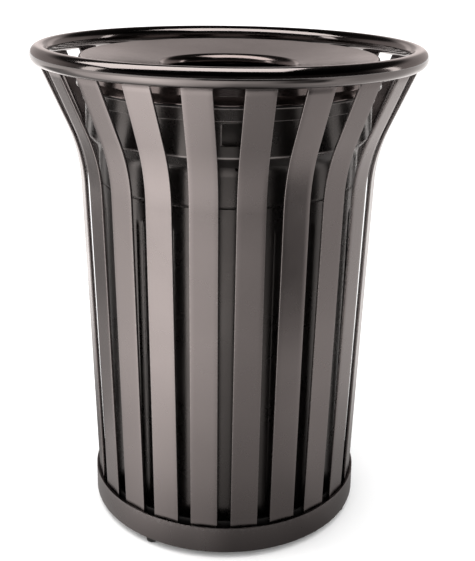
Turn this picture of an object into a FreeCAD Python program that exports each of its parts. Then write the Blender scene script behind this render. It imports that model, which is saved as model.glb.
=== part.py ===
"""Slatted steel litter bin: a flared frame of flat bars between a tube ring and a base band,
with a lift-out liner and a loose spun lid that has a round hole.

Millimetres. Z is up, the origin is on the ground at the middle of the bin, and -Y is the front.
"""
import FreeCAD, Part
import math
import os
import Sketcher

doc = FreeCAD.newDocument("litter_bin")

# ---------------------------------------------------------------------------------------------
# Driving sizes: lengths in millimetres, angles in degrees
# ---------------------------------------------------------------------------------------------
SIZES = {
    # frame: tube ring, base band, flat bars
    "ring_dia": 711.2,            # over the outside of the tube ring, 28 in
    "tube_dia": 33.0,             # outside of the tube
    "tube_wall": 2.8,
    "ring_height": 875.2,         # ground to the middle of the tube
    "ground_gap": 12.0,           # ground to the underside of the base band
    "band_height": 48.8,
    "band_thick": 4.8,
    "slat_count": 22,
    "slat_width": 48.1,
    "slat_thick": 4.8,
    "slat_outreach": 87.5,        # middle of the tube outside the bar's outer face at its foot
    "slat_lean_above_band": 13.0,  # the bar starts to lean this far above the band
    "slat_lean": 1.95,            # lean of the long lower leg
    "slat_flare": 23.3,           # lean of the short upper leg
    "slat_bend_radius": 290.0,
    "slat_aim": 7.8,              # bar's outer face passes this far outside the tube's middle
    # floor pan and the feet under it
    "pan_thick": 3.0,
    "pan_above_gap": 14.0,        # underside of the pan above the band's lower edge
    "pan_flange_above_band": 8.0,
    "pan_bend_radius": 5.0,
    "anchor_hole_dia": 14.0,
    "drain_hole_dia": 12.0,
    "drain_circle_radius": 150.0,
    "drain_count": 4,
    "foot_inset": 3.8,            # middle of a foot inside the pan's outer face
    "foot_spread": 98.18,         # angle between the two front feet
    "foot_turn": 16.36,           # direction midway between them, from the front
    "boss_dia": 14.0,
    "stud_dia": 8.0,
    "stud_clearance": 0.05,
    "stud_below_pan": 2.0,
    "glide_dia": 22.0,
    "glide_edge_radius": 4.0,
    "glide_height": 8.0,
    "hex_across_flats": 13.0,
    "stop_clearance": 0.3,
    # liner
    "liner_wall": 3.0,
    "liner_rest_clearance": 0.3,
    "liner_side_clearance": 17.8,  # liner's foot to the pan's flange
    "liner_foot_round": 14.0,
    "liner_draft": 13.0,          # the wall's spread from its foot to its neck
    "liner_shoulder_step": 22.0,
    "liner_rim_step": 4.0,
    "rim_below_ring": 57.7,       # top of the liner below the middle of the tube ring
    "step_below_rim": 21.5,
    "shoulder_below_rim": 82.5,
    "neck_below_rim": 105.5,
    "liner_rim_lip": 8.0,         # how far the rim turns in
    "liner_soft_round": 6.0,
    "groove_below_rim": 169.5,    # thin groove round the wall
    "liner_band_width": 3.0,
    "liner_band_depth": 1.2,
    "flute_count": 24,
    "flute_angle": 3.0,
    "flute_depth": 1.2,
    "flute_below_rim": 210.5,
    "flute_above_foot": 40.7,
    "cut_margin": 6.0,            # how far a cut runs out past the wall
    "grip_turn": 6.0,             # middle of the front hand grip, from the front
    "grip_count": 2,
    "grip_angle": 17.5,
    "grip_depth": 14.0,
    "grip_below_rim": 26.5,
    "grip_tall": 34.0,
    "pull_hole_dia": 7.0,
    "pull_hole_below_rim": 102.5,
    "pull_hole_offset": 10.0,     # sideways from the middle of the front grip, to the left
    # lid
    "lid_sheet": 1.5,
    "lid_hole_radius": 119.0,
    "lid_lip_depth": 17.0,
    "lid_lip_radius": 12.0,
    "lid_dish_fall": 17.0,        # how far the dish falls from its edge to its hole
    "lid_side_clearance": 4.5,    # liner's rim to the inside of the lid's skirt
    "lid_edge_radius": 4.0,
    "lid_above_rim": 55.0,
    "lid_skirt_flare": 5.0,
    "hem_above_rim": 4.5,
    "hem_height": 4.0,            # of the hem's upright part, and of the flare above it
    "seat_ring_thick": 2.0,
    "seat_ring_width": 15.0,
    "seat_ring_rise": 18.0,
    "seat_clearance": 0.3,
}

# Places that follow from the sizes, worked out in a second sheet
PLACES = {
    "zero": "0",
    "tube_radius": "tube_dia / 2",
    "bore_radius": "tube_dia / 2 - tube_wall",
    "ring_radius": "ring_dia / 2 - tube_dia / 2",
    "band_low": "ground_gap + 0",
    "band_top": "ground_gap + band_height",
    "slat_foot_radius": "ring_dia / 2 - tube_dia / 2 - slat_outreach",
    "band_inner_radius": "sqrt(slat_foot_radius ^ 2 + (slat_width / 2) ^ 2)",
    "band_outer_radius": "band_inner_radius + band_thick",
    "slat_inner_radius": "slat_foot_radius - slat_thick",
    "slat_low": "ground_gap + pan_above_gap + pan_thick",
    "lean_start": "ground_gap + band_height + slat_lean_above_band",
    "aim_radius": "ring_dia / 2 - tube_dia / 2 + slat_aim",
    "pan_low": "ground_gap + pan_above_gap",
    "pan_flange_top": "ground_gap + band_height + pan_flange_above_band",
    "foot_circle_radius": "slat_inner_radius - foot_inset",
    "boss_radius": "boss_dia / 2",
    "boss_bore_radius": "stud_dia / 2 + stud_clearance",
    "boss_length": "pan_above_gap + 0",
    "glide_radius": "glide_dia / 2",
    "stud_radius": "stud_dia / 2",
    "stud_length": "ground_gap + pan_above_gap - stud_below_pan - glide_height",
    "hex_corner_radius": "hex_across_flats / 2 / cos(30)",
    "hex_height": "ground_gap - stop_clearance - glide_height",
    "liner_low": "ground_gap + pan_above_gap + pan_thick + liner_rest_clearance",
    "liner_foot_radius": "slat_inner_radius - pan_thick - liner_side_clearance",
    "liner_neck_radius": "liner_foot_radius + liner_draft",
    "liner_shoulder_radius": "liner_neck_radius + liner_shoulder_step",
    "liner_rim_radius": "liner_shoulder_radius + liner_rim_step",
    "liner_rim_height": "ring_height - rim_below_ring",
    "liner_rim_step_height": "liner_rim_height - step_below_rim",
    "liner_shoulder_height": "liner_rim_height - shoulder_below_rim",
    "liner_neck_height": "liner_rim_height - neck_below_rim",
    "liner_band_z": "liner_rim_height - groove_below_rim",
    "flute_top": "liner_rim_height - flute_below_rim",
    "flute_bottom": "liner_low + flute_above_foot",
    "grip_high": "liner_rim_height - grip_below_rim",
    "grip_low": "grip_high - grip_tall",
    "pull_hole_z": "liner_rim_height - pull_hole_below_rim",
    "rim_lip_radius": "liner_rim_radius - liner_rim_lip",
    "grip_floor_radius": "liner_shoulder_radius - grip_depth",
    "grip_back_radius": "liner_shoulder_radius - grip_depth - liner_wall",
    "grip_joint_radius": "liner_shoulder_radius - liner_wall / 2",
    "grip_out_radius": "liner_shoulder_radius + cut_margin",
    "grip_block_low": "grip_low - liner_wall",
    "grip_block_high": "grip_high + liner_wall",
    "grip_block_angle": "grip_angle + 2 * atan(liner_wall / liner_shoulder_radius) / 1 deg",
    "lid_height": "liner_rim_height + lid_above_rim",
    "lid_radius": "liner_rim_radius + lid_side_clearance + lid_sheet",
    "lid_hem_low": "liner_rim_height + hem_above_rim",
    "lid_hem_middle": "lid_hem_low + hem_height",
    "lid_hem_top": "lid_hem_middle + hem_height",
    "lid_inside_radius": "lid_radius - lid_sheet",
    "lid_underside": "lid_height - lid_sheet",
    "lid_hem_radius": "lid_radius - lid_sheet + lid_skirt_flare",
    "lip_radius": "lid_hole_radius + lid_sheet",
    "lip_top": "lid_height - lid_sheet - lid_dish_fall",
    "lip_low": "lid_height - lid_sheet - lid_dish_fall - lid_lip_depth",
    "seat_low": "liner_rim_height + seat_clearance",
    "seat_high": "liner_rim_height + seat_clearance + seat_ring_rise",
    "seat_inner_radius": "lid_radius - lid_sheet - seat_ring_width",
}


def fill_sheet(name, cells, prefix=""):
    """A sheet with one name and one value or formula to a row, each value under its own alias."""
    sheet = doc.addObject("Spreadsheet::Sheet", name)
    for row, (alias, content) in enumerate(cells.items(), 1):
        sheet.set("A%d" % row, alias)
        sheet.set("B%d" % row, prefix + str(content))
        sheet.setAlias("B%d" % row, alias)
    return sheet


def in_sizes(formula):
    """The formula with each size's name written as a reference to the sheet of sizes."""
    words = formula.replace("(", "( ").replace(")", " )").split()
    return " ".join("sizes." + word if word in SIZES else word for word in words)


sizes = fill_sheet("sizes", SIZES)
doc.recompute()
places = fill_sheet("places", {name: in_sizes(text) for name, text in PLACES.items()}, "=")
doc.recompute()


def value(name):
    """The number that a name stands for in either sheet."""
    return float(getattr(sizes if name in SIZES else places, name))


def link(name):
    """The expression that binds a property to a name in either sheet."""
    return ("sizes." if name in SIZES else "places.") + name


def add_place(name, formula):
    """One more worked-out cell in the sheet of places."""
    PLACES[name] = formula
    row = len(PLACES)
    places.set("A%d" % row, name)
    places.set("B%d" % row, "=" + formula)
    places.setAlias("B%d" % row, name)
    return name


# ---------------------------------------------------------------------------------------------
# Helpers for bodies, sketches and profiles
# ---------------------------------------------------------------------------------------------
def new_body(label):
    """An empty PartDesign body."""
    body = doc.addObject("PartDesign::Body", label)
    body.Label = label
    return body


def new_sketch(body, name, plane):
    """A sketch on one of the body's own origin planes."""
    sketch = body.newObject("Sketcher::SketchObject", name)
    support = [item for item in body.Origin.OriginFeatures if item.Role == plane][0]
    sketch.AttachmentSupport = [(support, "")]
    sketch.MapMode = "FlatFace"
    return sketch


def bind(thing, **properties):
    """Bind each named property to a name in the sheets."""
    for prop, name in properties.items():
        thing.setExpression(prop, link(name))


def pin_point(sketch, geometry, end, corner):
    """Hold a point of the sketch at a corner's distances from the sketch's origin."""
    for kind, name in (("DistanceX", corner[0]), ("DistanceY", corner[1])):
        index = sketch.addConstraint(Sketcher.Constraint(kind, -1, 1, geometry, end, value(name)))
        sketch.setExpression("Constraints[%d]" % index, link(name))


def draw_outline(sketch, corners):
    """A closed outline through the corners, given as names of (across, up) or (across, up, radius).

    A corner with a radius is rounded with an arc tangent to both its sides.
    """
    count = len(corners)
    points = [FreeCAD.Vector(value(c[0]), value(c[1]), 0) for c in corners]
    ends = []
    for index, corner in enumerate(corners):
        here = points[index]
        back = (points[index - 1] - here).normalize()
        onward = (points[(index + 1) % count] - here).normalize()
        reach = 0.0
        if len(corner) == 3:
            half_angle = back.getAngle(onward) / 2
            reach = value(corner[2]) / math.tan(half_angle)
        ends.append((here + back * reach, here + onward * reach))
    lines = []
    for index in range(count):
        following = (index + 1) % count
        lines.append(sketch.addGeometry(Part.LineSegment(ends[index][1], ends[following][0]), False))
    for index, corner in enumerate(corners):
        before, after = lines[index - 1], lines[index]
        if len(corner) == 2:
            sketch.addConstraint(Sketcher.Constraint("Coincident", before, 2, after, 1))
            pin_point(sketch, after, 1, corner)
            continue
        round_corner(sketch, corner, points[index], ends[index], before, after)


def round_corner(sketch, corner, point, ends, before, after):
    """An arc between two sides of an outline, with a construction point at their corner."""
    toward_centre = (ends[0] - point).normalize() + (ends[1] - point).normalize()
    half_angle = (ends[0] - point).getAngle(ends[1] - point) / 2
    radius = value(corner[2])
    centre = point + toward_centre.normalize() * (radius / math.sin(half_angle))
    middle = centre + (point - centre).normalize() * radius
    arc = sketch.addGeometry(Part.Arc(ends[0], middle, ends[1]), False)
    starts_before = (arc_end(sketch, arc, 1) - ends[0]).Length < (arc_end(sketch, arc, 2) - ends[0]).Length
    first, last = (1, 2) if starts_before else (2, 1)
    sketch.addConstraint(Sketcher.Constraint("Tangent", before, 2, arc, first))
    sketch.addConstraint(Sketcher.Constraint("Tangent", arc, last, after, 1))
    index = sketch.addConstraint(Sketcher.Constraint("Radius", arc, radius))
    sketch.setExpression("Constraints[%d]" % index, link(corner[2]))
    vertex = sketch.addGeometry(Part.Point(point), True)
    sketch.addConstraint(Sketcher.Constraint("PointOnObject", vertex, 1, before))
    sketch.addConstraint(Sketcher.Constraint("PointOnObject", vertex, 1, after))
    pin_point(sketch, vertex, 1, corner)


def arc_end(sketch, arc, end):
    """Where an arc of the sketch starts (1) or ends (2)."""
    return sketch.getPoint(arc, end)


def walled_profile(prefix, skin, wall):
    """The closed outline of a sheet wall, from its outer skin and the wall's thickness.

    skin lists the outer corners as names (across, up) or (across, up, radius), walked with the
    material on the left. The inner corners are mitred: each is moved square to both its sides by
    the wall, and its round is larger or smaller by the wall, so the thickness is the same all along.
    """
    last = len(skin) - 1
    for index in range(last):
        (x1, y1), (x2, y2) = skin[index][:2], skin[index + 1][:2]
        rise = "%s - %s" % (link(y2), link(y1))
        run = "%s - %s" % (link(x2), link(x1))
        add_place("%s_way%d" % (prefix, index), "atan2(%s; %s)" % (rise, run))
    doc.recompute()
    inner = []
    for index, corner in enumerate(skin):
        into = "%s_way%d" % (prefix, max(index - 1, 0))
        out = "%s_way%d" % (prefix, min(index, last - 1))
        middle = "(places.%s + places.%s) / 2" % (into, out)
        half = "(places.%s - places.%s) / 2" % (out, into)
        shift = "%s / cos(%s)" % (link(wall), half)
        across = add_place("%s_in_x%d" % (prefix, index),
                           "%s - %s * sin(%s)" % (link(corner[0]), shift, middle))
        up = add_place("%s_in_y%d" % (prefix, index),
                       "%s + %s * cos(%s)" % (link(corner[1]), shift, middle))
        if len(corner) == 2:
            inner.append((across, up))
            continue
        turns_left = value(out) > value(into)
        sign = "-" if turns_left else "+"
        size = add_place("%s_in_round%d" % (prefix, index),
                         "%s %s %s" % (link(corner[2]), sign, link(wall)))
        inner.append((across, up, size))
    doc.recompute()
    return list(skin) + inner[::-1]


def revolve(body, name, corners, kind="PartDesign::Revolution", angle=None):
    """Turn an outline in the XZ plane about the Z axis, all the way or by a named angle."""
    sketch = new_sketch(body, name + "_outline", "XZ_Plane")
    draw_outline(sketch, corners)
    feature = body.newObject(kind, name)
    feature.Profile = sketch
    feature.ReferenceAxis = (sketch, ["V_Axis"])
    if angle is None:
        feature.Angle = 360
    else:
        feature.Midplane = True
        bind(feature, Angle=angle)
    doc.recompute()
    return feature


def repeat_round(body, feature, name, count):
    """Copy a feature round the body's Z axis, evenly over the full turn."""
    pattern = body.newObject("PartDesign::PolarPattern", name)
    pattern.Originals = [feature]
    axis = [item for item in body.Origin.OriginFeatures if item.Role == "Z_Axis"][0]
    pattern.Axis = (axis, [""])
    pattern.Angle = 360
    bind(pattern, Occurrences=count)
    body.Tip = pattern
    doc.recompute()
    return pattern


def turned(angle):
    """A placement turned about Z from +X, so that 0 faces the front and 90 faces +X."""
    return FreeCAD.Placement(FreeCAD.Vector(), FreeCAD.Rotation(FreeCAD.Vector(0, 0, 1), angle - 90))


def at_front_angle(radius, height, angle):
    """A place at a radius and height, at an angle from the front towards +X."""
    turn = math.radians(angle)
    return FreeCAD.Vector(radius * math.sin(turn), -radius * math.cos(turn), height)


# ---------------------------------------------------------------------------------------------
# Top ring: a round steel tube rolled to a hoop and welded shut
# ---------------------------------------------------------------------------------------------
def make_top_ring():
    tube = doc.addObject("Part::Torus", "ring_tube")
    bind(tube, Radius1="ring_radius", Radius2="tube_radius")
    bore = doc.addObject("Part::Torus", "ring_bore")
    bind(bore, Radius1="ring_radius", Radius2="bore_radius")
    for torus in (tube, bore):
        torus.setExpression(".Placement.Base.z", link("ring_height"))
    ring = doc.addObject("Part::Cut", "top_ring")
    ring.Base = tube
    ring.Tool = bore
    ring.Label = "top_ring"
    return ring


# ---------------------------------------------------------------------------------------------
# Base band: flat bar rolled on edge to a hoop, outside the feet of the slats
# ---------------------------------------------------------------------------------------------
def make_base_band():
    body = new_body("base_band")
    revolve(body, "band_hoop", [
        ("band_inner_radius", "band_low"), ("band_outer_radius", "band_low"),
        ("band_outer_radius", "band_top"), ("band_inner_radius", "band_top")])
    return body


# ---------------------------------------------------------------------------------------------
# Slats: flat bars bent outwards near the top, each coped to the tube and welded to it
# ---------------------------------------------------------------------------------------------
def slat_profile():
    """The side outline of one bar: upright in the band, a slight lean, a bend, then the flare."""
    lean, flare = "tan(sizes.slat_lean)", "tan(sizes.slat_flare)"
    add_place("bend_height",
              "(places.aim_radius - %s * sizes.ring_height - places.slat_foot_radius"
              " + %s * places.lean_start) / (%s - %s)" % (flare, lean, lean, flare))
    add_place("bend_radius_out",
              "places.slat_foot_radius + %s * (places.bend_height - places.lean_start)" % lean)
    doc.recompute()
    return walled_profile("slat", [
        ("slat_foot_radius", "slat_low"), ("slat_foot_radius", "lean_start"),
        ("bend_radius_out", "bend_height", "slat_bend_radius"), ("aim_radius", "ring_height")],
        "slat_thick")


def make_slat(number, outline):
    body = new_body("slat_%02d" % number)
    side = new_sketch(body, "slat_side_%02d" % number, "XZ_Plane")
    draw_outline(side, outline)
    bar = body.newObject("PartDesign::Pad", "slat_bar_%02d" % number)
    bar.Profile = side
    bar.Midplane = True
    bind(bar, Length="slat_width")
    doc.recompute()
    tube = new_sketch(body, "slat_cope_outline_%02d" % number, "XZ_Plane")
    tube.addGeometry(Part.Circle(FreeCAD.Vector(value("ring_radius"), value("ring_height"), 0),
                                 FreeCAD.Vector(0, 0, 1), value("tube_radius")), False)
    pin_point(tube, 0, 3, ("ring_radius", "ring_height"))
    index = tube.addConstraint(Sketcher.Constraint("Radius", 0, value("tube_radius")))
    tube.setExpression("Constraints[%d]" % index, link("tube_radius"))
    cope = body.newObject("PartDesign::Groove", "slat_cope_%02d" % number)
    cope.Profile = tube
    cope.ReferenceAxis = (tube, ["V_Axis"])
    cope.Angle = 360
    pitch = 360 / value("slat_count")
    body.Placement = turned((number - 0.5) * pitch)
    return body


# ---------------------------------------------------------------------------------------------
# Floor pan: a flanged disc that the slats are welded to, with an anchor hole and drain holes
# ---------------------------------------------------------------------------------------------
def make_floor_pan():
    body = new_body("floor_pan")
    outline = walled_profile("pan", [
        ("zero", "pan_low"), ("slat_inner_radius", "pan_low", "pan_bend_radius"),
        ("slat_inner_radius", "pan_flange_top")], "pan_thick")
    revolve(body, "pan_disc", outline)
    anchor = new_sketch(body, "anchor_hole_outline", "XY_Plane")
    cut_round_hole(body, anchor, "anchor_hole", "anchor_hole_dia", None)
    drain = new_sketch(body, "drain_hole_outline", "XY_Plane")
    hole = cut_round_hole(body, drain, "drain_hole", "drain_hole_dia", "drain_circle_radius")
    repeat_round(body, hole, "drain_holes", "drain_count")
    return body


def cut_round_hole(body, sketch, name, dia, out):
    """A hole cut straight up through the pan, on its middle or at a distance along X."""
    distance = 0.0 if out is None else value(out)
    sketch.addGeometry(Part.Circle(FreeCAD.Vector(distance, 0, 0), FreeCAD.Vector(0, 0, 1),
                                   value(dia) / 2), False)
    index = sketch.addConstraint(Sketcher.Constraint("Diameter", 0, value(dia)))
    sketch.setExpression("Constraints[%d]" % index, link(dia))
    if out is None:
        sketch.addConstraint(Sketcher.Constraint("Coincident", 0, 3, -1, 1))
    else:
        index = sketch.addConstraint(Sketcher.Constraint("DistanceX", -1, 1, 0, 3, distance))
        sketch.setExpression("Constraints[%d]" % index, link(out))
        sketch.addConstraint(Sketcher.Constraint("PointOnObject", 0, 3, -1))
    before = body.Shape.Volume
    hole = body.newObject("PartDesign::Pocket", name)
    hole.Profile = sketch
    hole.Midplane = True
    hole.Type = "ThroughAll"
    doc.recompute()
    if body.Shape.Volume >= before:
        raise RuntimeError(name + " cut nothing")
    return hole


# ---------------------------------------------------------------------------------------------
# Feet: four threaded bosses welded under the pan, each with a stud that carries a plastic glide
# ---------------------------------------------------------------------------------------------
def foot_angles():
    """Directions of the four feet from the front: two pairs, opposite each other."""
    half = value("foot_spread") / 2
    turn = value("foot_turn")
    return [turn - half, turn + half, turn - half + 180, turn + half + 180]


def stand_on_foot_circle(thing, base_name, angle):
    """Put a round piece upright on the foot circle, its base at a named height."""
    thing.Placement.Base = at_front_angle(value("foot_circle_radius"), value(base_name), angle)
    return thing


def new_cylinder(name, radius_name, height_name):
    """A cylinder with its radius and height bound to the sheets."""
    rod = doc.addObject("Part::Cylinder", name)
    bind(rod, Radius=radius_name, Height=height_name)
    return rod


def make_foot_bosses():
    bosses = []
    for number, angle in enumerate(foot_angles(), 1):
        blank = new_cylinder("boss_blank_%d" % number, "boss_radius", "boss_length")
        bore = new_cylinder("boss_bore_%d" % number, "boss_bore_radius", "boss_length")
        boss = doc.addObject("Part::Cut", "boss_%d" % number)
        boss.Base = stand_on_foot_circle(blank, "band_low", angle)
        boss.Tool = stand_on_foot_circle(bore, "band_low", angle)
        bosses.append(boss)
    group = doc.addObject("Part::Compound", "foot_bosses")
    group.Links = bosses
    group.Label = "foot_bosses"
    return group


def make_foot_stud(number, angle):
    """A threaded stud with a hexagon for a spanner at its lower end."""
    rod = new_cylinder("stud_rod_%d" % number, "stud_radius", "stud_length")
    collar = doc.addObject("Part::Prism", "stud_hexagon_%d" % number)
    collar.Polygon = 6
    bind(collar, Circumradius="hex_corner_radius", Height="hex_height")
    stud = doc.addObject("Part::Fuse", "foot_stud_%d" % number)
    stud.Base = stand_on_foot_circle(rod, "glide_height", angle)
    stud.Tool = stand_on_foot_circle(collar, "glide_height", angle)
    stud.Label = "foot_stud_%d" % number
    return stud


def make_foot_glide(number, angle):
    """A round plastic glide with a rounded lower edge."""
    body = new_body("foot_glide_%d" % number)
    revolve(body, "glide_turning_%d" % number, [
        ("zero", "zero"), ("glide_radius", "zero", "glide_edge_radius"),
        ("glide_radius", "glide_height"), ("zero", "glide_height")])
    return stand_on_foot_circle(body, "zero", angle)


# ---------------------------------------------------------------------------------------------
# Liner: one plastic moulding with a rim, a hand-grip collar, a shoulder and a fluted wall
# ---------------------------------------------------------------------------------------------
def make_liner():
    body = new_body("liner_shell")
    outline = walled_profile("liner", [
        ("zero", "liner_low"), ("liner_foot_radius", "liner_low", "liner_foot_round"),
        ("liner_neck_radius", "liner_neck_height", "liner_soft_round"),
        ("liner_shoulder_radius", "liner_shoulder_height", "liner_soft_round"),
        ("liner_shoulder_radius", "liner_rim_step_height"),
        ("liner_rim_radius", "liner_rim_step_height"),
        ("liner_rim_radius", "liner_rim_height"),
        ("rim_lip_radius", "liner_rim_height")], "liner_wall")
    revolve(body, "liner_moulding", outline)
    add_hand_grips(body)
    add_wall_grooves(body)
    add_pull_hole(body)
    body.Placement = turned(value("grip_turn"))
    return body


def add_hand_grips(body):
    """Two pockets in the collar, opposite each other, with the wall carried round behind them."""
    block = revolve(body, "grip_block", [
        ("grip_back_radius", "grip_block_low"), ("grip_joint_radius", "grip_block_low"),
        ("grip_joint_radius", "grip_block_high"), ("grip_back_radius", "grip_block_high")],
        angle="grip_block_angle")
    repeat_round(body, block, "grip_blocks", "grip_count")
    pocket = revolve(body, "grip_pocket", [
        ("grip_floor_radius", "grip_low"), ("grip_out_radius", "grip_low"),
        ("grip_out_radius", "grip_high"), ("grip_floor_radius", "grip_high")],
        kind="PartDesign::Groove", angle="grip_angle")
    repeat_round(body, pocket, "grip_pockets", "grip_count")


def wall_groove_corners(prefix, low, high, depth):
    """The outline of a shallow cut that follows the tapered wall between two heights."""
    taper = ("(places.liner_neck_radius - places.liner_foot_radius)"
             " / (places.liner_neck_height - places.liner_low)")
    corners = []
    for end, height in (("low", low), ("high", high)):
        wall = "places.liner_foot_radius + %s * (%s - places.liner_low)" % (taper, height)
        level = add_place("%s_%s" % (prefix, end), height)
        floor = add_place("%s_%s_floor" % (prefix, end), wall + " - " + link(depth))
        out = add_place("%s_%s_out" % (prefix, end), wall + " + sizes.cut_margin")
        corners += [(floor, level), (out, level)]
    doc.recompute()
    return [corners[0], corners[1], corners[3], corners[2]]


def add_wall_grooves(body):
    """Upright flutes round the lower wall, and one thin groove round it above them."""
    flute_outline = wall_groove_corners("flute", "places.flute_bottom", "places.flute_top",
                                        "flute_depth")
    flute = revolve(body, "flute", flute_outline, kind="PartDesign::Groove", angle="flute_angle")
    repeat_round(body, flute, "flutes", "flute_count")
    half = "sizes.liner_band_width / 2"
    ring_outline = wall_groove_corners("wall_ring", "places.liner_band_z - " + half,
                                       "places.liner_band_z + " + half, "liner_band_depth")
    revolve(body, "wall_ring", ring_outline, kind="PartDesign::Groove")


def add_pull_hole(body):
    """A small round hole through the front wall, above the groove."""
    sketch = new_sketch(body, "pull_hole_outline", "YZ_Plane")
    across, up = -value("pull_hole_offset"), value("pull_hole_z")
    sketch.addGeometry(Part.Circle(FreeCAD.Vector(across, up, 0), FreeCAD.Vector(0, 0, 1),
                                   value("pull_hole_dia") / 2), False)
    index = sketch.addConstraint(Sketcher.Constraint("Diameter", 0, value("pull_hole_dia")))
    sketch.setExpression("Constraints[%d]" % index, link("pull_hole_dia"))
    index = sketch.addConstraint(Sketcher.Constraint("DistanceX", 0, 3, -1, 1, -across))
    sketch.setExpression("Constraints[%d]" % index, link("pull_hole_offset"))
    index = sketch.addConstraint(Sketcher.Constraint("DistanceY", -1, 1, 0, 3, up))
    sketch.setExpression("Constraints[%d]" % index, link("pull_hole_z"))
    before = body.Shape.Volume
    hole = body.newObject("PartDesign::Pocket", "pull_hole")
    hole.Profile = sketch
    hole.Type = "ThroughAll"
    hole.Reversed = True
    doc.recompute()
    if body.Shape.Volume >= before:
        raise RuntimeError("the pull hole cut nothing")


# ---------------------------------------------------------------------------------------------
# Lid: spun from one sheet, with a dished top, a rolled hole, a skirt and a flared hem
# ---------------------------------------------------------------------------------------------
def make_lid():
    body = new_body("lid_shell")
    outline = walled_profile("lid", [
        ("lip_radius", "lip_low"), ("lip_radius", "lip_top", "lid_lip_radius"),
        ("lid_inside_radius", "lid_underside", "lid_edge_radius"),
        ("lid_inside_radius", "lid_hem_top"), ("lid_hem_radius", "lid_hem_middle"),
        ("lid_hem_radius", "lid_hem_low")], "lid_sheet")
    revolve(body, "lid_spinning", outline)
    return body


def make_lid_seat_ring():
    """An angle ring welded inside the skirt, which sits on the liner's rim."""
    body = new_body("lid_seat_ring")
    outline = walled_profile("seat", [
        ("seat_inner_radius", "seat_low"), ("lid_inside_radius", "seat_low"),
        ("lid_inside_radius", "seat_high")], "seat_ring_thick")
    revolve(body, "seat_rolling", outline)
    return body


# ---------------------------------------------------------------------------------------------
# The whole bin
# ---------------------------------------------------------------------------------------------
pieces = [make_top_ring(), make_base_band(), make_floor_pan(), make_foot_bosses()]
side_outline = slat_profile()
for slat_number in range(1, int(value("slat_count")) + 1):
    pieces.append(make_slat(slat_number, side_outline))
for foot_number, foot_angle in enumerate(foot_angles(), 1):
    pieces.append(make_foot_stud(foot_number, foot_angle))
    pieces.append(make_foot_glide(foot_number, foot_angle))
pieces += [make_liner(), make_lid(), make_lid_seat_ring()]
doc.recompute()

for item in doc.Objects:
    if "Invalid" in item.State or "Error" in item.State:
        raise RuntimeError(item.Name + " failed: " + str(item.State))
for piece in pieces:
    if piece.Shape.isNull() or not piece.Shape.isValid():
        raise RuntimeError(piece.Label + " has no valid shape")

os.makedirs("parts", exist_ok=True)
for piece in pieces:
    piece.Shape.exportStep("parts/" + piece.Label + ".step")
    print("%-16s %8.1f cm3" % (piece.Label, piece.Shape.Volume / 1000))
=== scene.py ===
"""Round slatted litter bin in gloss black powder coat: a tube ring, 22 bent flat bars, a base band,
a floor pan on four screw feet, a moulded plastic liner and a spun steel lid.

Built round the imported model, in metres, with Z up and the front towards -Y. Each section holds one
piece, or a group of like pieces, with its own sizes, mesh, material and frame calls.
"""
import math

import bpy
import numpy as np
from mathutils import Matrix, Vector


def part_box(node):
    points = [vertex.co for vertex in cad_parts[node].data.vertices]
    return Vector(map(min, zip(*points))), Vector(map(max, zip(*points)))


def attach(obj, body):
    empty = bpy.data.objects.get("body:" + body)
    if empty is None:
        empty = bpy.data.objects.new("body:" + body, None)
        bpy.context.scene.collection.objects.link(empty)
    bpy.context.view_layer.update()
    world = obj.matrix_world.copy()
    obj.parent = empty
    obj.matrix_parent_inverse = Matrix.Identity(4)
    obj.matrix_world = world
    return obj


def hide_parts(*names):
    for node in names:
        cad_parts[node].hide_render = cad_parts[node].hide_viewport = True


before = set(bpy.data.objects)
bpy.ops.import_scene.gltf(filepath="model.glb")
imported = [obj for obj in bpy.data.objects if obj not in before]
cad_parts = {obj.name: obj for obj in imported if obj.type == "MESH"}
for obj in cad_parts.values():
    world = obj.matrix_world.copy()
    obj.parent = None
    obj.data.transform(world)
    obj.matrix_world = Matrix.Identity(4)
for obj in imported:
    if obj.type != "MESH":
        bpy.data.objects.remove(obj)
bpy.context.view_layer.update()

# --- Camera -----------------------------------------------------------------------------------
# It stands straight in front of the bin, a little above the rim, and looks down. The turn to the
# right and the roll are slight.
eye = np.array([0.0, -1.7154, 1.0725])
pitch, yaw, roll = 0.2707, 0.0107, 0.0151
ahead = np.array([math.sin(yaw) * math.cos(pitch), math.cos(yaw) * math.cos(pitch),
                  -math.sin(pitch)])
level_right = np.array([math.cos(yaw), -math.sin(yaw), 0.0])
level_up = np.cross(level_right, ahead)
right = math.cos(roll) * level_right + math.sin(roll) * level_up
up = -math.sin(roll) * level_right + math.cos(roll) * level_up
camera = bpy.data.objects.new("camera", bpy.data.cameras.new("camera"))
bpy.context.scene.collection.objects.link(camera)
placement = np.eye(4)
placement[:3, 0], placement[:3, 1], placement[:3, 2], placement[:3, 3] = right, up, -ahead, eye
camera.matrix_world = Matrix(placement.tolist())
camera.data.sensor_width = 36.0
camera.data.lens = 60.45
camera.data.shift_y = -0.1435
camera.data.clip_end = 200.0
bpy.context.scene.camera = camera


# --- Floor and light --------------------------------------------------------------------------
# A plain white floor under an even white sky, and soft boxes at the sides. The gloss coat sees the
# floor as zones of light and shade laid round the bin, which only reflections see: bright to the
# left, a dark break to the right of the front, and a dark sky with one long strip of light above.
def new_material(name):
    """An empty node material; returns it with a function that adds a node and sets its values."""
    material = bpy.data.materials.new(name)
    material.use_nodes = True
    material.node_tree.nodes.clear()
    return material, node_adder(material.node_tree)


def node_adder(tree):
    """A function that adds one node to a tree, sets attributes, and sets or links its inputs."""
    def add(kind, inputs=None, **attributes):
        node = tree.nodes.new("ShaderNode" + kind)
        for key, setting in attributes.items():
            setattr(node, key, setting)
        for key, setting in (inputs or {}).items():
            if isinstance(setting, bpy.types.NodeSocket):
                tree.links.new(setting, node.inputs[key])
            else:
                node.inputs[key].default_value = setting
        return node
    return add


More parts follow.
